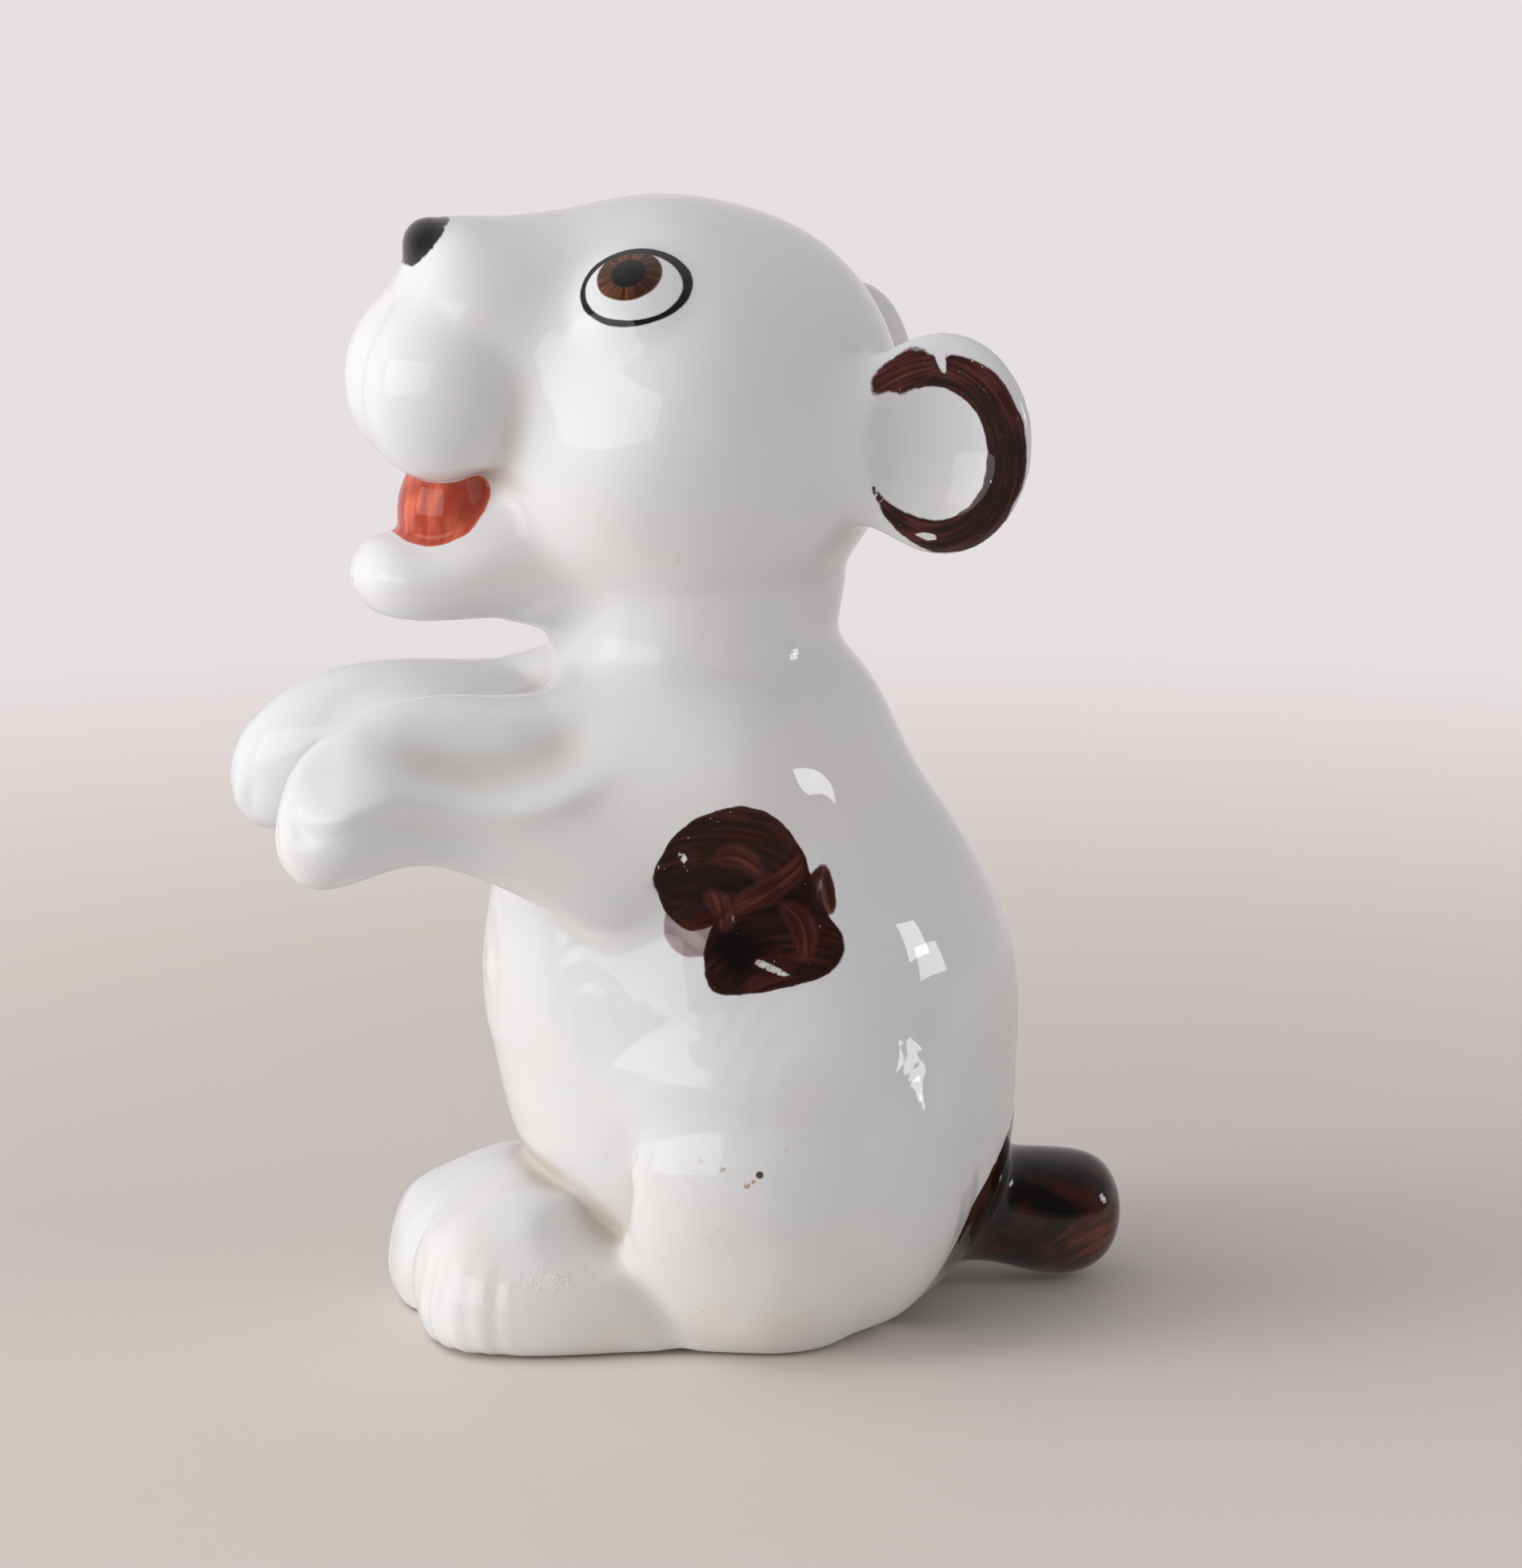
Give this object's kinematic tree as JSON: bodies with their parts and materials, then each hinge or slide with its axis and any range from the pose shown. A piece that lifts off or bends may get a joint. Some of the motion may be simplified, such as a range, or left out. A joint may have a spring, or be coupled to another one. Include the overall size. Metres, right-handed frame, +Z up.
{
  "type": "begging puppy figurine",
  "caption": "Small hollow slip-cast porcelain puppy that sits up and begs, with round cupped ears and a flat base to stand on.",
  "frame": {"origin": "on the surface that the figure stands on, at the middle of the flat seat's width, under the belly", "axes": "+Z up; the puppy faces -Y; its left side is +X"},
  "size_m": [0.0428, 0.0684, 0.0867],
  "materials": {
    "white_glaze": "glossy, faintly bluish transparent glaze on white porcelain",
    "brown_glaze": "dark brown overglaze enamel with brush strokes, glossy",
    "black_glaze": "black overglaze enamel, glossy",
    "red_glaze": "orange-red overglaze enamel, brushed thin",
    "eye_glaze": "white glaze with a painted brown iris, black pupil and lid line"
  },
  "bodies": {
    "root": {"torso": "white_glaze", "head": "white_glaze", "lower_jaw": "white_glaze", "tongue": "red_glaze", "nose": "black_glaze", "left_eye": "eye_glaze", "right_eye": "eye_glaze", "left_ear": "white_glaze", "right_ear": "white_glaze", "left_foreleg": "white_glaze", "right_foreleg": "white_glaze", "left_hind_leg": "white_glaze", "right_hind_leg": "white_glaze", "tail": "brown_glaze"}
  },
  "joints": []
}
